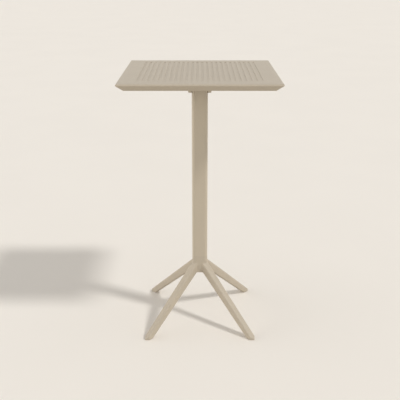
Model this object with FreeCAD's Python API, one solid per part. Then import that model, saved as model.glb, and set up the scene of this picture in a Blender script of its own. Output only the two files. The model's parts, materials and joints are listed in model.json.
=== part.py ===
import FreeCAD, Part
import math
import os

from FreeCAD import Placement, Rotation, Vector

# Outdoor bar table: grooved square top that tilts upright on a clamped hinge, tube column, star base.
# Millimetres. Z is up, the floor is Z = 0 and the column stands on the Z axis. The front is -Y.

# Overall
table_height = 1080.0

# Top: skin with shallow grooves, crowned edge, round nose, bevel that runs in under the nose
top_width = 600.0
top_corner_radius = 10.0
edge_run = 20.0
edge_drop = 1.3
nose_radius = 4.5
bevel_run = 25.0
rim_depth = 28.0
rim_corner_radius = 6.0
mitre_margin = 0.4
rim_foot = 7.0
pocket_corner_radius = 4.0
skin_thickness = 6.0
groove_count = 24
groove_pitch = 19.67
groove_width = 8.4
groove_length = 468.0
groove_depth = 1.2
rib_thickness = 4.0
rib_depth = 18.0
cross_rib_count = 5
long_rib_spacing_in_slats = 5
long_rib_pairs = 2
boss_radius = 8.0
boss_offset_in_slats = 3

# Tilt bracket
plate_thickness = 5.0
plate_margin = 13.0
plate_corner_radius = 12.0
plate_window_length = 26.0
plate_window_width = 60.0
plate_window_radius = 8.0
ear_thickness = 13.5
ear_radius = 18.0
ear_root_front = 34.0
ear_root_rear = 42.0
ear_edge_round = 3.0
hinge_drop = 37.0
hinge_forward = 15.0
web_thickness = 8.0
gusset_thickness = 5.0
gusset_reach = 20.0
gusset_drop = 18.0
weld_depth = 1.0

# Column head
barrel_radius = 18.0
barrel_length = 60.0
head_rise = 24.0
collar_height = 14.0
head_spigot_length = 55.0
seat_depth = 25.0
bush_outer_radius = 7.0
bush_length = 20.0

# Hinge clamp
bolt_radius = 5.0
bolt_head_across_flats = 17.0
bolt_head_height = 7.0
bolt_washer_radius = 10.0
bolt_washer_thickness = 2.0
friction_washer_thickness = 2.5
friction_washer_bore_radius = 6.0
saddle_radius = 10.0
saddle_thickness = 5.0
eye_thickness = 7.6
cam_radius = 11.0
cam_throw = 1.2
cam_pin_radius = 2.5
cam_pin_chamfer = 0.5
lever_height = 16.0
lever_length = 88.0
lever_tip_radius = 6.0
lever_flare = 4.0
lever_edge_round = 2.0
grip_count = 5
grip_pitch = 7.0
grip_radius = 3.0
grip_depth = 0.9

# Pads
seat_pad_thickness = 4.0
seat_pad_width = 22.0
seat_pad_depth = 18.0
fold_pad_thickness = 3.0
fold_pad_width = 36.0

# Column and tie rod
column_width = 64.0
column_corner_radius = 13.0
column_wall = 3.0
rod_radius = 6.0
rod_thread_in_head = 40.0
rod_washer_radius = 14.0
rod_washer_thickness = 3.0
rod_nut_across_flats = 19.0
rod_nut_height = 11.0
rod_end_below_nut = 3.0
rod_end_chamfer = 1.0
hexagon_land_share = 0.95

# Base: hub and four legs on the diagonals
hub_tuck = 1.0
hub_land = 3.0
hub_spigot_length = 60.0
hub_recess_radius = 18.0
hub_recess_depth = 26.0
hub_blend = 10.0
leg_count = 4
first_leg_angle = 45.0
leg_slope = 40.96
leg_root_width = 31.2
leg_root_height = 36.4
leg_tip_width = 25.6
leg_tip_height = 25.1
leg_edge_radius = 5.5
base_width = 456.0
foot_corner_radius = 4.0
toe_height = 3.4

# Glides under the feet
glide_thickness = 1.2
glide_radius = 10.0
glide_stem_radius = 4.5
glide_stem_length = 8.0
glide_edge = 0.5

# Screws that hold the bracket to the top
screw_radius = 3.0
screw_head_radius = 5.5
screw_head_height = 4.0
screw_head_chamfer = 1.3
screw_reach = 11.0
screw_socket_across_flats = 4.0
screw_socket_depth = 2.2
insert_radius = 4.5
insert_length = 12.0

# Clearances
running_gap = 0.05
slip_gap = 0.3
friction_gap = 0.05
stop_gap = 0.2
tip_gap = 1.0

# Finding edges to round
seam_tolerance = 0.01
seam_samples = 5

# Levels, from the top down
rim_level = table_height - rim_depth
skin_underside = table_height - skin_thickness
plate_top = skin_underside - rib_depth
plate_bottom = plate_top - plate_thickness
hinge_level = plate_bottom - hinge_drop
hinge_y = -hinge_forward
collar_top = hinge_level - head_rise
column_top = collar_top - collar_height
seat_level = plate_bottom - friction_gap - seat_pad_thickness
column_half = column_width / 2

# Stations along the hinge, from the middle out
barrel_half = barrel_length / 2
ear_inner = barrel_half + friction_washer_thickness + friction_gap
ear_outer = ear_inner + ear_thickness
saddle_face = ear_outer + saddle_thickness
cam_centre_x = saddle_face + friction_gap + cam_radius
pivot_x = cam_centre_x + cam_throw

# Levels of the base, from the leg tips up
slope_cosine = math.cos(math.radians(leg_slope))
slope_tangent = math.tan(math.radians(leg_slope))
leg_reach = base_width / math.sqrt(2)
leg_axis_level = toe_height - leg_tip_height / 2 / slope_cosine + leg_reach * slope_tangent
hub_top = leg_axis_level + leg_root_height / 2 / slope_cosine + hub_land
leg_leaves_hub = column_half * math.sqrt(2) - leg_root_width / 2
hub_bottom = leg_axis_level - leg_leaves_hub * slope_tangent - leg_root_height / 2 / slope_cosine + hub_tuck
recess_top = hub_bottom + hub_recess_depth
rod_bottom = recess_top - rod_washer_thickness - rod_nut_height - rod_end_below_nut
rod_top = column_top - head_spigot_length + rod_thread_in_head
sole_inner = (leg_axis_level - leg_tip_height / 2 / slope_cosine - glide_thickness) / slope_tangent
glide_reach = (sole_inner + leg_reach - leg_tip_width / 2) / 2

# Rows of grooves, slats and ribs
groove_rows = [(index - (groove_count - 1) / 2) * groove_pitch for index in range(groove_count)]
middle_slat = groove_rows[groove_count // 2] - groove_pitch / 2
rib_rows = [middle_slat + step * long_rib_spacing_in_slats * groove_pitch
            for step in range(-long_rib_pairs, long_rib_pairs + 1)]
cross_rib_pitch = groove_length / (cross_rib_count + 1)
cross_rows = [(index - (cross_rib_count - 1) / 2) * cross_rib_pitch for index in range(cross_rib_count)]
boss_x = boss_offset_in_slats * groove_pitch
boss_places = [(middle_slat + side * boss_x, end * cross_rib_pitch) for side in (-1, 1) for end in (-1, 1)]


def rounded_rectangle(width, depth, radius):
    """Closed outline in the XY plane, centred on the origin."""
    half_x = width / 2
    half_y = depth / 2
    corners = [(1, -1), (1, 1), (-1, 1), (-1, -1)]
    arcs = []
    for turn, (side_x, side_y) in enumerate(corners):
        centre = Vector(side_x * (half_x - radius), side_y * (half_y - radius), 0)
        start = math.radians(90 * (turn - 1))
        points = [centre + Vector(math.cos(angle), math.sin(angle), 0) * radius
                  for angle in (start, start + math.pi / 4, start + math.pi / 2)]
        arcs.append(points)
    edges = []
    for index, points in enumerate(arcs):
        following = arcs[(index + 1) % len(arcs)]
        edges.append(Part.Arc(*points).toShape())
        edges.append(Part.LineSegment(points[-1], following[0]).toShape())
    return Part.Wire(edges)


def rounded_prism(width, depth, radius, bottom, top):
    """Upright prism with rounded corners."""
    face = Part.Face(rounded_rectangle(width, depth, radius))
    solid = face.extrude(Vector(0, 0, top - bottom))
    solid.translate(Vector(0, 0, bottom))
    return solid


def block(low, high):
    """Box between two corners."""
    return Part.makeBox(high[0] - low[0], high[1] - low[1], high[2] - low[2], Vector(*low))


def upright_cylinder(radius, bottom, top, x=0.0, y=0.0):
    return Part.makeCylinder(radius, top - bottom, Vector(x, y, bottom))


def hinge_cylinder(radius, start, end):
    """Cylinder on the hinge axis between two stations."""
    return Part.makeCylinder(radius, end - start, Vector(start, hinge_y, hinge_level), Vector(1, 0, 0))


def hexagon_prism(across_flats, height):
    """Hexagonal prism standing on the XY plane."""
    corner_radius = across_flats / math.sqrt(3)
    points = [Vector(corner_radius * math.cos(math.radians(60 * step)),
                     corner_radius * math.sin(math.radians(60 * step)), 0) for step in range(7)]
    return Part.Face(Part.makePolygon(points)).extrude(Vector(0, 0, height))


def tangent_point(point, centre, radius, side):
    """Where a line from the point touches a circle, in a plane across the hinge."""
    reach = centre - point
    length = math.sqrt(reach.Length ** 2 - radius ** 2)
    turn = math.degrees(math.asin(radius / reach.Length)) * side
    direction = Rotation(Vector(1, 0, 0), turn).multVec(reach).normalize()
    return point + direction * length


def extrude_outline(edges, direction):
    return Part.Face(Part.Wire([edge.toShape() for edge in edges])).extrude(direction)


def turned(shape, angle):
    """Copy turned about the column's axis."""
    return shape.rotated(Vector(0, 0, 0), Vector(0, 0, 1), angle)


def edges_at_level(shape, level):
    """Edges that lie wholly in one horizontal plane."""
    return [edge for edge in shape.Edges
            if max(abs(edge.BoundBox.ZMin - level), abs(edge.BoundBox.ZMax - level)) < seam_tolerance]


def bevelled_hexagon(across_flats, height):
    """Hexagonal prism with its corners turned off at both ends."""
    land = hexagon_land_share * across_flats / 2
    spread = land + height * math.sqrt(3)
    opening = Part.makeCone(land, spread, height)
    closing = Part.makeCone(spread, land, height)
    return hexagon_prism(across_flats, height).common(opening).common(closing)


def chamfered_pin(radius, chamfer, bottom, top, x=0.0, y=0.0):
    """Upright pin with a chamfer at both ends."""
    pin = upright_cylinder(radius, bottom, top, x, y)
    return pin.makeChamfer(chamfer, edges_at_level(pin, bottom) + edges_at_level(pin, top))


def edge_points(side):
    """Section of the top's front or rear edge, from the flat outward over the nose and in to the rim."""
    half = top_width / 2
    crest = half - edge_run
    spread = edge_run - nose_radius
    crown_radius = nose_radius + (spread ** 2 + edge_drop ** 2) / (2 * edge_drop)
    lean = math.asin(spread / (crown_radius - nose_radius))
    points = []
    for angle in (0.0, lean / 2, lean):
        points.append(Vector(-half, side * (crest + crown_radius * math.sin(angle)),
                             table_height - crown_radius * (1 - math.cos(angle))))
    nose = Vector(-half, side * (half - nose_radius), table_height - edge_drop - nose_radius)
    rim = Vector(-half, side * (half - bevel_run), rim_level)
    tip = nose + Vector(0, side * nose_radius, 0)
    return points + [tip, tangent_point(rim, nose, nose_radius, -side), rim]


def edge_curves(side):
    """Crown, nose and bevel of the top's front or rear edge."""
    crest, crown, shoulder, tip, touch, rim = edge_points(side)
    return [Part.Arc(crest, crown, shoulder), Part.Arc(shoulder, tip, touch), Part.LineSegment(touch, rim)]


def top_strip():
    """Top with its edge on two sides, run straight through from left to right."""
    front = edge_curves(-1)
    rear = edge_curves(1)
    flat = Part.LineSegment(front[0].StartPoint, rear[0].StartPoint)
    underside = Part.LineSegment(rear[-1].EndPoint, front[-1].EndPoint)
    return extrude_outline([flat] + rear + [underside] + front[::-1], Vector(top_width, 0, 0))


def corner_trim():
    """Form just outside the bevel and the nose, whose round corners take off the sharp mitres."""
    bevel = edge_curves(1)[-1]
    run = bevel.StartPoint - bevel.EndPoint
    level = rim_level + bevel_run * run.z / run.y
    upper_width = top_width + 2 * mitre_margin
    lower_width = upper_width - 2 * bevel_run
    lower = rounded_rectangle(lower_width, lower_width, rim_corner_radius)
    lower.translate(Vector(0, 0, rim_level))
    upper = rounded_rectangle(upper_width, upper_width, top_corner_radius)
    upper.translate(Vector(0, 0, level))
    above = rounded_prism(upper_width, upper_width, top_corner_radius, level, table_height)
    return Part.makeLoft([lower, upper], True, True).fuse(above)


def top_shell():
    """Outer form of the top, hollowed from below to the skin."""
    strip = top_strip()
    slab = strip.common(turned(strip, 90)).common(corner_trim())
    return slab.cut(top_pocket())


def top_pocket():
    """Hollow under the skin, inside the rim."""
    width = top_width - 2 * bevel_run - 2 * rim_foot
    return rounded_prism(width, width, pocket_corner_radius, rim_level, skin_underside)


def top_ribs():
    """Ribs along and across the slats, and the bosses for the bracket's screws."""
    reach = top_width / 2
    half = rib_thickness / 2
    long_ribs = [block((x - half, -reach, plate_top), (x + half, reach, skin_underside))
                 for x in rib_rows]
    cross_ribs = [block((-reach, y - half, plate_top), (reach, y + half, skin_underside))
                  for y in cross_rows]
    bosses = [upright_cylinder(boss_radius, plate_top, skin_underside, x, y) for x, y in boss_places]
    return long_ribs[0].multiFuse(long_ribs[1:] + cross_ribs + bosses).common(top_pocket())


def groove_cutter(x):
    """One shallow groove with round ends, from front to back."""
    radius = groove_width / 2
    straight = groove_length / 2 - radius
    left = x - radius
    right = x + radius
    outline = [
        Part.LineSegment(Vector(right, -straight, 0), Vector(right, straight, 0)),
        Part.Arc(Vector(right, straight, 0), Vector(x, straight + radius, 0), Vector(left, straight, 0)),
        Part.LineSegment(Vector(left, straight, 0), Vector(left, -straight, 0)),
        Part.Arc(Vector(left, -straight, 0), Vector(x, -straight - radius, 0), Vector(right, -straight, 0)),
    ]
    cutter = extrude_outline(outline, Vector(0, 0, groove_depth))
    cutter.translate(Vector(0, 0, table_height - groove_depth))
    return cutter


def table_top():
    body = top_shell().fuse(top_ribs()).removeSplitter()
    grooves = Part.makeCompound([groove_cutter(x) for x in groove_rows])
    insert_holes = Part.makeCompound(
        [upright_cylinder(insert_radius + running_gap, plate_top, plate_top + insert_length + tip_gap, x, y)
         for x, y in boss_places])
    return body.cut(grooves).cut(insert_holes)


def top_inserts():
    sleeves = []
    for x, y in boss_places:
        sleeve = upright_cylinder(insert_radius, plate_top, plate_top + insert_length, x, y)
        bore = upright_cylinder(screw_radius + running_gap, plate_top, plate_top + insert_length, x, y)
        sleeves.append(sleeve.cut(bore))
    return Part.makeCompound(sleeves)


def bracket_ear(side):
    """Cheek that drops from the plate and narrows to the round end about the hinge."""
    inner = side * ear_inner
    front_root = Vector(inner, hinge_y - ear_root_front, plate_top)
    rear_root = Vector(inner, hinge_y + ear_root_rear, plate_top)
    centre = Vector(inner, hinge_y, hinge_level)
    front_touch = tangent_point(front_root, centre, ear_radius, -1)
    rear_touch = tangent_point(rear_root, centre, ear_radius, 1)
    lowest = centre - Vector(0, 0, ear_radius)
    outline = [
        Part.LineSegment(front_root, front_touch),
        Part.Arc(front_touch, lowest, rear_touch),
        Part.LineSegment(rear_touch, rear_root),
        Part.LineSegment(rear_root, front_root),
    ]
    ear = extrude_outline(outline, Vector(side * ear_thickness, 0, 0))
    outer_edges = [edge for edge in ear.Edges
                   if abs(edge.CenterOfMass.x - side * ear_outer) < seam_tolerance]
    rim = [edge for edge in outer_edges if edge.BoundBox.ZMin < plate_bottom]
    return ear.makeFillet(ear_edge_round, rim)


def bracket_gusset(side, y):
    """Small triangle between the outer side of an ear and the plate."""
    inner = Vector(side * (ear_outer - weld_depth), y, plate_bottom)
    outer = Vector(side * (ear_outer + gusset_reach), y, plate_bottom)
    lower = Vector(side * (ear_outer - weld_depth), y, plate_bottom - gusset_drop)
    outline = [
        Part.LineSegment(inner, outer),
        Part.LineSegment(outer, lower),
        Part.LineSegment(lower, inner),
    ]
    return extrude_outline(outline, Vector(0, gusset_thickness, 0))


def fold_web_faces():
    """Front and rear of the web that meets the middle of the collar when the top is upright."""
    middle = hinge_y - head_rise - collar_height / 2
    return middle - web_thickness / 2, middle + web_thickness / 2


def fold_pad_bottom():
    """Level that turns into the front face of the collar when the top is upright."""
    return hinge_level + column_half - hinge_forward + stop_gap


def tilt_bracket():
    width = 2 * (boss_x + plate_margin)
    depth = 2 * (cross_rib_pitch + plate_margin)
    plate = rounded_prism(width, depth, plate_corner_radius, plate_bottom, plate_top)
    plate.translate(Vector(middle_slat, 0, 0))
    web_front, web_rear = fold_web_faces()
    web = block((-ear_inner - weld_depth, web_front, fold_pad_bottom() + fold_pad_thickness),
                (ear_inner + weld_depth, web_rear, plate_bottom + weld_depth))
    pieces = [web]
    for side in (-1, 1):
        pieces.append(bracket_ear(side))
        pieces.append(bracket_gusset(side, hinge_y - ear_root_front / 2 - gusset_thickness))
        pieces.append(bracket_gusset(side, hinge_y + ear_root_rear / 2))
    body = plate.multiFuse(pieces).removeSplitter()
    bolt_hole = hinge_cylinder(bolt_radius + running_gap, -ear_outer, ear_outer)
    screw_holes = Part.makeCompound(
        [upright_cylinder(screw_radius + slip_gap, plate_bottom, plate_top, x, y) for x, y in boss_places])
    window_offset = cross_rib_pitch + plate_margin / 2 - plate_window_length / 2
    windows = []
    for end in (-1, 1):
        window = rounded_prism(plate_window_width, plate_window_length, plate_window_radius,
                               plate_bottom, plate_top)
        window.translate(Vector(middle_slat, end * window_offset, 0))
        windows.append(window)
    return body.cut(bolt_hole).cut(screw_holes).cut(Part.makeCompound(windows))


def bracket_screws():
    """Socket head screws driven up through the plate."""
    screws = []
    for x, y in boss_places:
        shank = upright_cylinder(screw_radius, plate_bottom, plate_top + screw_reach, x, y)
        head = upright_cylinder(screw_head_radius, plate_bottom - screw_head_height, plate_bottom, x, y)
        head = head.makeChamfer(screw_head_chamfer, edges_at_level(head, plate_bottom - screw_head_height))
        socket = hexagon_prism(screw_socket_across_flats, screw_socket_depth)
        socket.translate(Vector(x, y, plate_bottom - screw_head_height))
        screws.append(shank.fuse(head).cut(socket).removeSplitter())
    return Part.makeCompound(screws)


def head_profile():
    """Side view of the head above its collar: hinge barrel in front, seat post behind."""
    start = Vector(-barrel_half, -column_half, collar_top)
    centre = Vector(-barrel_half, hinge_y, hinge_level)
    touch = tangent_point(start, centre, barrel_radius, 1)
    crown = centre + Vector(0, 0, barrel_radius)
    toward_front = Rotation(Vector(1, 0, 0), 45).multVec(Vector(0, 0, barrel_radius))
    post_front = column_half - seat_depth
    valley = Vector(-barrel_half, post_front, hinge_level + barrel_radius)
    seat_front = Vector(-barrel_half, post_front, seat_level)
    seat_rear = Vector(-barrel_half, column_half, seat_level)
    end = Vector(-barrel_half, column_half, collar_top)
    return [
        Part.LineSegment(start, touch),
        Part.Arc(touch, centre + toward_front, crown),
        Part.LineSegment(crown, valley),
        Part.LineSegment(valley, seat_front),
        Part.LineSegment(seat_front, seat_rear),
        Part.LineSegment(seat_rear, end),
        Part.LineSegment(end, start),
    ]


def column_head():
    spigot_width = column_width - 2 * column_wall - 2 * slip_gap
    spigot_radius = column_corner_radius - column_wall - slip_gap
    spigot = rounded_prism(spigot_width, spigot_width, spigot_radius,
                           column_top - head_spigot_length, column_top)
    collar = rounded_prism(column_width, column_width, column_corner_radius, column_top, collar_top)
    stem_radius = column_corner_radius - (column_half - barrel_half)
    stem = rounded_prism(barrel_length, column_width, stem_radius, collar_top, seat_level)
    upper = extrude_outline(head_profile(), Vector(barrel_length, 0, 0)).common(stem)
    barrel = hinge_cylinder(barrel_radius, -barrel_half, barrel_half)
    body = collar.multiFuse([spigot, upper, barrel]).removeSplitter()
    bore = hinge_cylinder(bush_outer_radius + running_gap, -barrel_half, barrel_half)
    thread = upright_cylinder(rod_radius + running_gap, column_top - head_spigot_length, rod_top + tip_gap)
    return body.cut(bore).cut(thread)


def hinge_bush(side):
    start, end = sorted((side * barrel_half, side * (barrel_half - bush_length)))
    outer = hinge_cylinder(bush_outer_radius, start, end)
    return outer.cut(hinge_cylinder(bolt_radius + running_gap, start, end))


def friction_washer(side):
    start, end = sorted((side * barrel_half, side * (barrel_half + friction_washer_thickness)))
    disc = hinge_cylinder(barrel_radius, start, end)
    return disc.cut(hinge_cylinder(friction_washer_bore_radius, start, end))


def clamp_bolt():
    """Hinge bolt: hexagon head on the left, flattened eye for the cam pin on the right."""
    head_seat = -ear_outer - bolt_washer_thickness
    shank = hinge_cylinder(bolt_radius, head_seat, pivot_x + bolt_radius)
    half = eye_thickness / 2
    for level in (hinge_level + half, hinge_level - half - bolt_radius):
        flat = block((saddle_face, hinge_y - bolt_radius, level),
                     (pivot_x + bolt_radius, hinge_y + bolt_radius, level + bolt_radius))
        shank = shank.cut(flat)
    pin_hole = upright_cylinder(cam_pin_radius + running_gap, hinge_level - bolt_radius,
                                hinge_level + bolt_radius, pivot_x, hinge_y)
    head = bevelled_hexagon(bolt_head_across_flats, bolt_head_height)
    head.Placement = Placement(Vector(head_seat, hinge_y, hinge_level), Rotation(Vector(0, 1, 0), -90))
    return shank.fuse(head).removeSplitter().cut(pin_hole)


def bolt_washer():
    start = -ear_outer - bolt_washer_thickness
    bore = hinge_cylinder(bolt_radius + running_gap, start, -ear_outer)
    return hinge_cylinder(bolt_washer_radius, start, -ear_outer).cut(bore)


def cam_saddle():
    bore = hinge_cylinder(bolt_radius + running_gap, ear_outer, saddle_face)
    return hinge_cylinder(saddle_radius, ear_outer, saddle_face).cut(bore)


def cam_pin():
    half = lever_height / 2
    return chamfered_pin(cam_pin_radius, cam_pin_chamfer, hinge_level - half, hinge_level + half,
                         pivot_x, hinge_y)


def lever_outline():
    """Cam circle and tip circle joined by their outer tangents, the outer side first."""
    cam = Vector(cam_centre_x, hinge_y, 0)
    tip = cam + Vector(lever_flare, lever_length, 0)
    along = tip - cam
    lean = math.degrees(math.acos((cam_radius - lever_tip_radius) / along.Length))
    along.normalize()
    right = Rotation(Vector(0, 0, 1), -lean).multVec(along)
    left = Rotation(Vector(0, 0, 1), lean).multVec(along)
    cam_right = cam + right * cam_radius
    cam_left = cam + left * cam_radius
    tip_right = tip + right * lever_tip_radius
    tip_left = tip + left * lever_tip_radius
    return [
        Part.LineSegment(cam_right, tip_right),
        Part.Arc(tip_right, tip + along * lever_tip_radius, tip_left),
        Part.LineSegment(tip_left, cam_left),
        Part.Arc(cam_left, cam - along * cam_radius, cam_right),
    ]


def grip_scallops(bottom, top):
    """Shallow hollows for the finger along the outer side, from the lever's tip inward."""
    side = lever_outline()[0]
    inward = (side.StartPoint - side.EndPoint).normalize()
    outward = Rotation(Vector(0, 0, 1), 90).multVec(inward)
    start = side.EndPoint + outward * (grip_radius - grip_depth)
    hollows = []
    for step in range(grip_count):
        place = start + inward * (step * grip_pitch)
        hollows.append(upright_cylinder(grip_radius, bottom, top, place.x, place.y))
    return Part.makeCompound(hollows)


def clamp_lever():
    """Cam lever, forked round the eye of the bolt."""
    bottom = hinge_level - lever_height / 2
    top = hinge_level + lever_height / 2
    body = extrude_outline(lever_outline(), Vector(0, 0, lever_height))
    body.translate(Vector(0, 0, bottom))
    rims = edges_at_level(body, bottom) + edges_at_level(body, top)
    body = body.makeFillet(lever_edge_round, rims)
    fork_half = eye_thickness / 2 + slip_gap
    fork = upright_cylinder(cam_radius + 2 * cam_throw, hinge_level - fork_half, hinge_level + fork_half,
                            pivot_x, hinge_y)
    pin_hole = upright_cylinder(cam_pin_radius + running_gap, bottom, top, pivot_x, hinge_y)
    return body.cut(fork).cut(pin_hole).cut(grip_scallops(bottom, top))


def seat_pads():
    """Two rubber pads on the seat post, under the bracket's plate."""
    front = column_half - seat_depth / 2 - seat_pad_depth / 2
    rear = front + seat_pad_depth
    top = seat_level + seat_pad_thickness
    pads = []
    for side in (-1, 1):
        left = side * barrel_half / 2 - seat_pad_width / 2
        pads.append(block((left, front, seat_level), (left + seat_pad_width, rear, top)))
    return Part.makeCompound(pads)


def fold_pad():
    front, rear = fold_web_faces()
    bottom = fold_pad_bottom()
    half = fold_pad_width / 2
    return block((-half, front, bottom), (half, rear, bottom + fold_pad_thickness))


def column():
    outer = rounded_prism(column_width, column_width, column_corner_radius, hub_top, column_top)
    inner_width = column_width - 2 * column_wall
    inner_radius = column_corner_radius - column_wall
    return outer.cut(rounded_prism(inner_width, inner_width, inner_radius, hub_top, column_top))


def tie_rod():
    return chamfered_pin(rod_radius, rod_end_chamfer, rod_bottom, rod_top)


def rod_washer():
    bottom = recess_top - rod_washer_thickness
    washer = upright_cylinder(rod_washer_radius, bottom, recess_top)
    return washer.cut(upright_cylinder(rod_radius + running_gap, bottom, recess_top))


def rod_nut():
    bottom = recess_top - rod_washer_thickness - rod_nut_height
    nut = bevelled_hexagon(rod_nut_across_flats, rod_nut_height)
    nut.translate(Vector(0, 0, bottom))
    return nut.cut(upright_cylinder(rod_radius + running_gap, bottom, bottom + rod_nut_height))


def leg_corners(reach, width, height):
    """Corners of the section across the leg along +X, at a plan distance from the column's axis."""
    level = leg_axis_level - reach * slope_tangent
    facing = Rotation(Vector(0, 1, 0), 90 + leg_slope).multiply(Rotation(Vector(0, 0, 1), 90))
    placement = Placement(Vector(reach, 0, level), facing)
    return [placement.multVec(Vector(side_x * width / 2, side_y * height / 2, 0))
            for side_x, side_y in ((-1, -1), (1, -1), (1, 1), (-1, 1))]


def tapered_bar(start, end):
    """Bar with flat sides between two four-cornered sections."""
    sides = [[start[index - 1], start[index], end[index], end[index - 1]] for index in range(len(start))]
    faces = [Part.Face(Part.makePolygon(corners + corners[:1])) for corners in sides + [start, end]]
    return Part.Solid(Part.Shell(faces))


def leg():
    """Straight tapered leg along +X with rounded edges, trimmed square to the plan of the base."""
    overrun = leg_tip_height
    change = overrun / leg_reach
    end_width = leg_tip_width + (leg_tip_width - leg_root_width) * change
    end_height = leg_tip_height + (leg_tip_height - leg_root_height) * change
    bar = tapered_bar(leg_corners(0.0, leg_root_width, leg_root_height),
                      leg_corners(leg_reach + overrun, end_width, end_height))
    long_edges = [edge for edge in bar.Edges if edge.Length > leg_reach]
    plan = rounded_prism(base_width, base_width, foot_corner_radius, glide_thickness, hub_top)
    return bar.makeFillet(leg_edge_radius, long_edges).common(turned(plan, -first_leg_angle))


def leg_angle(index):
    return first_leg_angle + index * 360.0 / leg_count


def on_hub_side(point):
    """Whether a point lies on the upright sides of the hub, seen in plan."""
    flat = column_half - column_corner_radius
    over_x = max(abs(point.x) - flat, 0)
    over_y = max(abs(point.y) - flat, 0)
    return abs(math.hypot(over_x, over_y) - column_corner_radius) < seam_tolerance


def leg_seams(body):
    """Edges along which the legs leave the sides of the hub."""
    seams = []
    for edge in body.Edges:
        level = edge.BoundBox
        leaves_hub = hub_bottom + seam_tolerance < level.ZMax < hub_top - seam_tolerance
        if leaves_hub and all(on_hub_side(point) for point in edge.discretize(seam_samples)):
            seams.append(edge)
    return seams


def leg_base():
    hub = rounded_prism(column_width, column_width, column_corner_radius, hub_bottom, hub_top)
    spigot_width = column_width - 2 * column_wall - 2 * slip_gap
    spigot_radius = column_corner_radius - column_wall - slip_gap
    spigot = rounded_prism(spigot_width, spigot_width, spigot_radius, hub_top, hub_top + hub_spigot_length)
    one_leg = leg()
    body = hub
    for index in range(leg_count):
        body = body.fuse(turned(one_leg, leg_angle(index)))
    body = body.makeFillet(hub_blend, leg_seams(body))
    rod_hole = upright_cylinder(rod_radius + slip_gap, hub_bottom, hub_top + hub_spigot_length)
    recess = upright_cylinder(hub_recess_radius, hub_bottom - leg_root_height, recess_top)
    stem_hole = upright_cylinder(glide_stem_radius + running_gap, glide_thickness,
                                 glide_thickness + glide_stem_length + tip_gap, glide_reach)
    stem_holes = Part.makeCompound([turned(stem_hole, leg_angle(index)) for index in range(leg_count)])
    return body.fuse(spigot).removeSplitter().cut(rod_hole).cut(recess).cut(stem_holes)


def glide(index):
    """Plug with a round sole, pressed up into the foot."""
    sole = upright_cylinder(glide_radius, 0.0, glide_thickness, glide_reach)
    sole = sole.makeChamfer(glide_edge, edges_at_level(sole, 0.0))
    stem_top = glide_thickness + glide_stem_length
    stem = upright_cylinder(glide_stem_radius, glide_thickness, stem_top, glide_reach)
    return turned(sole.fuse(stem).removeSplitter(), leg_angle(index))


def main():
    nodes = {
        "table_top": table_top(),
        "top_inserts": top_inserts(),
        "tilt_bracket": tilt_bracket(),
        "bracket_screws": bracket_screws(),
        "column_head": column_head(),
        "hinge_bush_left": hinge_bush(-1),
        "hinge_bush_right": hinge_bush(1),
        "friction_washer_left": friction_washer(-1),
        "friction_washer_right": friction_washer(1),
        "clamp_bolt": clamp_bolt(),
        "bolt_washer": bolt_washer(),
        "cam_saddle": cam_saddle(),
        "cam_pin": cam_pin(),
        "clamp_lever": clamp_lever(),
        "seat_pads": seat_pads(),
        "fold_pad": fold_pad(),
        "column": column(),
        "tie_rod": tie_rod(),
        "rod_washer": rod_washer(),
        "rod_nut": rod_nut(),
        "leg_base": leg_base(),
    }
    for index, place in enumerate(("rear_right", "rear_left", "front_left", "front_right")):
        nodes["glide_" + place] = glide(index)
    os.makedirs("parts", exist_ok=True)
    for name, shape in nodes.items():
        shape.exportStep("parts/" + name + ".step")
        print(name, "solids", len(shape.Solids), "valid", shape.isValid(), "volume", round(shape.Volume, 1))


main()
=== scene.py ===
import json
import math

import bmesh
import bpy
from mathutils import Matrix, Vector


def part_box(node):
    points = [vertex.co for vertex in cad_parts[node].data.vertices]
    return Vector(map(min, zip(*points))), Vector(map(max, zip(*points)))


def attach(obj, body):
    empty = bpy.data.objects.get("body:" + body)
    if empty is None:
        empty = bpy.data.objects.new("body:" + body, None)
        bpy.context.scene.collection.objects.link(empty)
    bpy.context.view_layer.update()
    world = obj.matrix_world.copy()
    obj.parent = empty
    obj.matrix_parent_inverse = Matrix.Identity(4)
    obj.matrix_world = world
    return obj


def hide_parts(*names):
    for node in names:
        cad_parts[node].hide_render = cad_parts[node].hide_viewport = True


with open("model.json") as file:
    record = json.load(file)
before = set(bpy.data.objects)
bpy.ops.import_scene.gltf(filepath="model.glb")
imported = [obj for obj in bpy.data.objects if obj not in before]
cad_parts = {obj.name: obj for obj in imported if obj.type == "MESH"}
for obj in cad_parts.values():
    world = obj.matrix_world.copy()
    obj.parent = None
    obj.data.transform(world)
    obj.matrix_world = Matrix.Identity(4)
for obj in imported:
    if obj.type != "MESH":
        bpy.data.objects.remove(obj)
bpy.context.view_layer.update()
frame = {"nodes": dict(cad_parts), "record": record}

# Camera at the photograph's viewing angle, for a square image
CAMERA_PLACE = (0.0008, -2.655, 1.4975)
CAMERA_PITCH_DOWN = 19.85
FOCAL_LENGTH = 60.31
SENSOR = 36.0

# Light: a soft key from the right and front, a glow overhead, and a low glow that is stronger at the sides
KEY_FROM = (0.75, -0.386, 1.0)
KEY_STRENGTH = 1.35
KEY_ANGLE = 7.0
OVERHEAD_GLOW = 0.47
LOW_GLOW = 1.32
LEFT_GLOW = 3.1
RIGHT_GLOW = 1.12
GLOW_COLOUR = (1.0, 0.99, 0.98, 1.0)
SEEN_STRENGTH = 1.0

# Where each glow sets in and is full, as the height or the sideways share of a direction
OVERHEAD_RAMP = (0.3, 1.0)
SIDE_RAMP = (0.6, 0.95)
HORIZON_RAMP = (0.7, 0.05)
ABOVE_FLOOR_RAMP = (-0.03, 0.0)

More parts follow.
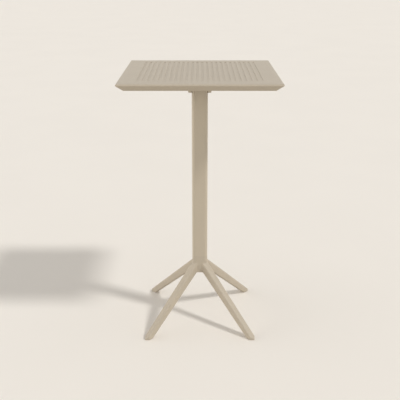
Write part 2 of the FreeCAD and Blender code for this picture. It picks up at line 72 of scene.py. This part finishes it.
# Colours as sRGB bytes
TAUPE_RESIN = (189, 177, 158)
TAUPE_COAT = (192, 180, 160)
DARK_RESIN = (52, 50, 47)
FLOOR_COLOUR = (245, 239, 230)
FLOOR_BOUNCE_COLOUR = (217, 211, 201)
BACKGROUND_COLOUR = (232, 229, 225)

# Darkest and lightest colour of the mottled finishes
STEEL = ((172, 174, 176), (204, 202, 194))
BRASS = ((176, 142, 84), (204, 172, 108))
RUBBER = ((34, 33, 32), (58, 56, 54))
FIBRE = ((74, 62, 52), (126, 108, 88))

# Rubber buffers, in metres
SEAT_BUFFER_WIDTH = 0.022
SEAT_BUFFER_RIBS = 3
FOLD_BUFFER_RIBS = 2
RIB_GAP_SHARE = 0.3
RIB_DEPTH_SHARE = 0.35
BUFFER_ROUNDING = 0.0005
ROUNDING_STEPS = 3

FLOOR_HALF = 40.0


def linear(colour, factor=1.0):
    """Linear colour with full alpha, from sRGB bytes, made darker or lighter by a factor."""
    values = []
    for byte in colour:
        share = byte / 255
        value = share / 12.92 if share <= 0.04045 else ((share + 0.055) / 1.055) ** 2.4
        values.append(value * factor)
    return (*values, 1.0)


class Graph:
    """Node tree with the few kinds of node that the finishes and the surround are made from."""

    def __init__(self, tree):
        self.tree = tree
        tree.nodes.clear()

    def add(self, kind, inputs):
        """New node whose inputs are plain values or the outputs of other nodes."""
        node = self.tree.nodes.new("ShaderNode" + kind)
        for name, value in inputs.items():
            self.put(node, name, value)
        return node

    def put(self, node, name, value):
        if isinstance(value, bpy.types.NodeSocket):
            self.tree.links.new(value, node.inputs[name])
        else:
            node.inputs[name].default_value = value

    def ranged(self, value, low, high, to_low, to_high):
        """Value moved from one range to another, with soft ends."""
        node = self.add("MapRange", {"Value": value, "From Min": low, "From Max": high,
                                     "To Min": to_low, "To Max": to_high})
        node.interpolation_type = "SMOOTHSTEP"
        return node.outputs["Result"]

    def sum(self, first, second):
        return self.add("Math", {0: first, 1: second}).outputs[0]

    def product(self, first, second):
        node = self.add("Math", {0: first, 1: second})
        node.operation = "MULTIPLY"
        return node.outputs[0]

    def mixed(self, factor, first, second):
        """Colour between two colours."""
        node = self.add("Mix", {0: factor, 6: first, 7: second})
        node.data_type = "RGBA"
        return node.outputs[2]

    def chosen(self, factor, first, second):
        """Shader between two shaders."""
        return self.add("MixShader", {0: factor, 1: first, 2: second}).outputs[0]

    def looked_at(self):
        """1 where a thing is seen, also reflected or through glass, and 0 where it only gives light."""
        ray = self.add("LightPath", {}).outputs
        return self.sum(self.sum(ray["Is Camera Ray"], ray["Is Glossy Ray"]), ray["Is Transmission Ray"])


class Surface(Graph):
    """One material, whose relief is built up in layers."""

    def __init__(self, name):
        self.material = bpy.data.materials.new(name)
        self.material.use_nodes = True
        super().__init__(self.material.node_tree)
        self.place = self.add("TexCoord", {}).outputs["Object"]
        self.relief = None

    def noise(self, scale, detail, stretch=(1.0, 1.0, 1.0)):
        """Noise with that many cycles to the metre, spread from 0 to 1."""
        place = self.add("Mapping", {"Vector": self.place, "Scale": stretch}).outputs["Vector"]
        node = self.add("TexNoise", {"Vector": place, "Scale": scale, "Detail": detail})
        return self.ranged(node.outputs["Fac"], 0.3, 0.7, 0.0, 1.0)

    def cells(self, scale):
        """Soft round cells, such as the peel of a sprayed coat."""
        node = self.tree.nodes.new("ShaderNodeTexVoronoi")
        node.feature = "SMOOTH_F1"
        self.put(node, "Vector", self.place)
        self.put(node, "Scale", scale)
        return node.outputs["Distance"]

    def bump(self, height, distance, strength):
        """Adds a layer of relief, in metres, over the layers before it."""
        node = self.add("Bump", {"Height": height, "Distance": distance, "Strength": strength})
        if self.relief is not None:
            self.put(node, "Normal", self.relief)
        self.relief = node.outputs["Normal"]

    def finish(self, colour, roughness, metallic=0.0, specular=0.5):
        shader = self.add("BsdfPrincipled", {"Base Color": colour, "Roughness": roughness,
                                             "Metallic": metallic, "Specular IOR Level": specular,
                                             "Normal": self.relief})
        output = self.add("OutputMaterial", {"Surface": shader.outputs["BSDF"]})
        return shader, output


def moulded_resin(name, colour, mean_roughness):
    """Filled resin with a fine eroded grain, a slight cloud in its colour and a ripple from cooling."""
    surface = Surface(name)
    cloud = surface.noise(scale=14.0, detail=4.0)
    clouded = surface.mixed(cloud, linear(colour, 0.965), linear(colour, 1.025))
    speckled = surface.mixed(surface.noise(scale=1100.0, detail=2.0), linear(colour, 0.94), clouded)
    surface.bump(surface.noise(scale=38.0, detail=2.0), distance=0.0003, strength=0.12)
    surface.bump(surface.noise(scale=1500.0, detail=3.0), distance=0.000015, strength=0.35)
    roughness = surface.ranged(surface.noise(scale=260.0, detail=3.0), 0.0, 1.0,
                               mean_roughness - 0.05, mean_roughness + 0.07)
    surface.finish(speckled, roughness, specular=0.42)
    return surface.material


def powder_coat(name, colour):
    """Matte powder coat on metal, with orange peel."""
    surface = Surface(name)
    cloud = surface.noise(scale=9.0, detail=3.0)
    clouded = surface.mixed(cloud, linear(colour, 0.975), linear(colour, 1.02))
    speckled = surface.mixed(surface.noise(scale=2200.0, detail=2.0), linear(colour, 0.95), clouded)
    surface.bump(surface.cells(scale=420.0), distance=0.00006, strength=0.35)
    surface.bump(surface.noise(scale=2400.0, detail=2.0), distance=0.000015, strength=0.3)
    roughness = surface.ranged(surface.noise(scale=180.0, detail=3.0), 0.0, 1.0, 0.42, 0.54)
    surface.finish(speckled, roughness, specular=0.45)
    return surface.material


def drawn_metal(name, colours, stretch):
    """Plated or turned metal: a cloudy tarnish and fine lines from the tool."""
    surface = Surface(name)
    lines = surface.noise(scale=900.0, detail=2.0, stretch=stretch)
    dull, bright = colours
    colour = surface.mixed(surface.noise(scale=150.0, detail=4.0), linear(dull), linear(bright))
    surface.bump(lines, distance=0.00002, strength=0.3)
    roughness = surface.ranged(lines, 0.0, 1.0, 0.26, 0.46)
    surface.finish(colour, roughness, metallic=1.0)
    return surface.material


def moulded_rubber(name):
    """Black rubber with a grey bloom."""
    surface = Surface(name)
    bloom = surface.noise(scale=160.0, detail=4.0)
    dark, light = RUBBER
    colour = surface.mixed(bloom, linear(dark), linear(light))
    surface.bump(surface.noise(scale=1800.0, detail=3.0), distance=0.00004, strength=0.5)
    surface.finish(colour, surface.ranged(bloom, 0.0, 1.0, 0.68, 0.84))
    return surface.material


def friction_fibre(name):
    """Pressed fibre with short strands across the disc."""
    surface = Surface(name)
    strands = surface.noise(scale=700.0, detail=4.0, stretch=(1.0, 0.25, 1.0))
    dark, light = FIBRE
    colour = surface.mixed(strands, linear(dark), linear(light))
    surface.bump(strands, distance=0.00006, strength=0.5)
    surface.finish(colour, surface.ranged(strands, 0.0, 1.0, 0.75, 0.9))
    return surface.material


def floor_finish(name):
    """Pale matte floor that is seen only from above, and throws back a little less light than it shows."""
    surface = Surface(name)
    cloud = surface.noise(scale=1.4, detail=5.0)
    clouded = surface.mixed(cloud, linear(FLOOR_COLOUR, 0.994), linear(FLOOR_COLOUR, 1.006))
    colour = surface.mixed(surface.looked_at(), linear(FLOOR_BOUNCE_COLOUR), clouded)
    surface.bump(surface.noise(scale=160.0, detail=3.0), distance=0.00015, strength=0.08)
    roughness = surface.ranged(surface.noise(scale=30.0, detail=3.0), 0.0, 1.0, 0.8, 0.95)
    shader, output = surface.finish(colour, roughness, specular=0.1)
    behind = surface.add("NewGeometry", {}).outputs["Backfacing"]
    clear = surface.add("BsdfTransparent", {}).outputs["BSDF"]
    surface.put(output, "Surface", surface.chosen(behind, shader.outputs["BSDF"], clear))
    return surface.material


def new_piece(name, shape, material):
    """Object from a finished mesh in the making."""
    mesh = bpy.data.meshes.new(name)
    shape.to_mesh(mesh)
    shape.free()
    mesh.materials.append(material)
    piece = bpy.data.objects.new(name, mesh)
    bpy.context.scene.collection.objects.link(piece)
    return piece


def ribbed_outline(depth, thickness, ribs):
    """Outline of a strip that is flat below and ribbed above, from its lower left corner."""
    pitch = depth / ribs
    half_gap = RIB_GAP_SHARE * pitch / 2
    valley = thickness * (1 - RIB_DEPTH_SHARE)
    outline = [(0.0, 0.0), (depth, 0.0), (depth, thickness)]
    for index in range(ribs - 1, 0, -1):
        seam = index * pitch
        outline += [(seam + half_gap, thickness), (seam + half_gap, valley),
                    (seam - half_gap, valley), (seam - half_gap, thickness)]
    return outline + [(0.0, thickness)]


def add_ribbed_strip(shape, low, high, ribs, ribs_down):
    """Ribbed rubber strip that fills a box, with its ribs along X on the upper or the lower face."""
    size = high - low
    corners = []
    for across, up in ribbed_outline(size.y, size.z, ribs):
        level = high.z - up if ribs_down else low.z + up
        corners.append(shape.verts.new((low.x, low.y + across, level)))
    side = shape.faces.new(corners)
    swept = bmesh.ops.extrude_face_region(shape, geom=[side])["geom"]
    moved = [item for item in swept if isinstance(item, bmesh.types.BMVert)]
    bmesh.ops.translate(shape, verts=moved, vec=(size.x, 0.0, 0.0))
    bmesh.ops.recalc_face_normals(shape, faces=shape.faces)


def soften(piece):
    """Rounds the edges of a moulded piece."""
    rounding = piece.modifiers.new("rounding", "BEVEL")
    rounding.width = BUFFER_ROUNDING
    rounding.segments = ROUNDING_STEPS
    piece.data.shade_smooth()
    piece.modifiers.new("shading", "WEIGHTED_NORMAL")


def add_seat_buffers(material):
    """Two ribbed buffers on the head, under the bracket's plate."""
    low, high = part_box("seat_pads")
    shape = bmesh.new()
    for left in (low.x, high.x - SEAT_BUFFER_WIDTH):
        add_ribbed_strip(shape, Vector((left, low.y, low.z)),
                         Vector((left + SEAT_BUFFER_WIDTH, high.y, high.z)), SEAT_BUFFER_RIBS, False)
    piece = new_piece("seat_buffers", shape, material)
    soften(piece)
    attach(piece, "pedestal")
    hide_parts("seat_pads")


def add_fold_buffer(material):
    """Ribbed strip on the lower edge of the bracket's web."""
    low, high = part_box("fold_pad")
    shape = bmesh.new()
    add_ribbed_strip(shape, low, high, FOLD_BUFFER_RIBS, True)
    piece = new_piece("fold_buffer", shape, material)
    soften(piece)
    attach(piece, "tilting_top")
    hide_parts("fold_pad")


def add_floor():
    shape = bmesh.new()
    bmesh.ops.create_grid(shape, x_segments=1, y_segments=1, size=FLOOR_HALF)
    new_piece("floor", shape, floor_finish("floor_finish"))


def add_camera():
    lens = bpy.data.cameras.new("camera")
    lens.sensor_width = SENSOR
    lens.lens = FOCAL_LENGTH
    camera = bpy.data.objects.new("camera", lens)
    camera.location = CAMERA_PLACE
    camera.rotation_euler = (math.radians(90 - CAMERA_PITCH_DOWN), 0.0, 0.0)
    bpy.context.scene.collection.objects.link(camera)
    bpy.context.scene.camera = camera


def add_key():
    lamp = bpy.data.lights.new("key", "SUN")
    lamp.energy = KEY_STRENGTH
    lamp.angle = math.radians(KEY_ANGLE)
    key = bpy.data.objects.new("key", lamp)
    key.rotation_mode = "QUATERNION"
    key.rotation_quaternion = Vector(KEY_FROM).to_track_quat("Z", "Y")
    bpy.context.scene.collection.objects.link(key)


def add_surround():
    """Soft light from all round, with a plain pale colour where the surround itself is seen."""
    world = bpy.data.worlds.new("surround")
    world.use_nodes = True
    bpy.context.scene.world = world
    graph = Graph(world.node_tree)
    direction = graph.add("TexCoord", {}).outputs["Generated"]
    split = graph.add("SeparateXYZ", {"Vector": direction})
    across = split.outputs["X"]
    up = split.outputs["Z"]
    overhead = graph.ranged(up, *OVERHEAD_RAMP, 0.0, OVERHEAD_GLOW)
    left = graph.ranged(across, -SIDE_RAMP[0], -SIDE_RAMP[1], 0.0, LEFT_GLOW)
    right = graph.ranged(across, *SIDE_RAMP, LOW_GLOW, LOW_GLOW + RIGHT_GLOW)
    above_floor = graph.ranged(up, *ABOVE_FLOOR_RAMP, 0.0, 1.0)
    near_horizon = graph.product(above_floor, graph.ranged(up, *HORIZON_RAMP, 0.0, 1.0))
    low = graph.product(near_horizon, graph.sum(left, right))
    strength = graph.sum(overhead, low)
    light = graph.add("Background", {"Color": GLOW_COLOUR, "Strength": strength})
    seen = graph.add("Background", {"Color": linear(BACKGROUND_COLOUR), "Strength": SEEN_STRENGTH})
    shader = graph.chosen(graph.looked_at(), light.outputs["Background"], seen.outputs["Background"])
    graph.add("OutputWorld", {"Surface": shader})


def dress_solids(finishes):
    """Gives each CAD node the finish that the record names for it."""
    for subpart in frame["record"]["subparts"]:
        mesh = frame["nodes"][subpart["node"]].data
        mesh.materials.clear()
        mesh.materials.append(finishes[subpart["material_slot"]])


finishes = {
    "taupe_resin": moulded_resin("taupe_resin", TAUPE_RESIN, mean_roughness=0.42),
    "taupe_coat": powder_coat("taupe_coat", TAUPE_COAT),
    "dark_resin": moulded_resin("dark_resin", DARK_RESIN, mean_roughness=0.55),
    "steel": drawn_metal("steel", STEEL, stretch=(0.15, 1.0, 1.0)),
    "brass": drawn_metal("brass", BRASS, stretch=(1.0, 0.2, 0.2)),
    "rubber": moulded_rubber("rubber"),
    "friction_fibre": friction_fibre("friction_fibre"),
}
dress_solids(finishes)
add_seat_buffers(finishes["rubber"])
add_fold_buffer(finishes["rubber"])
add_floor()
add_camera()
add_key()
add_surround()
bpy.context.scene.view_settings.view_transform = "Standard"
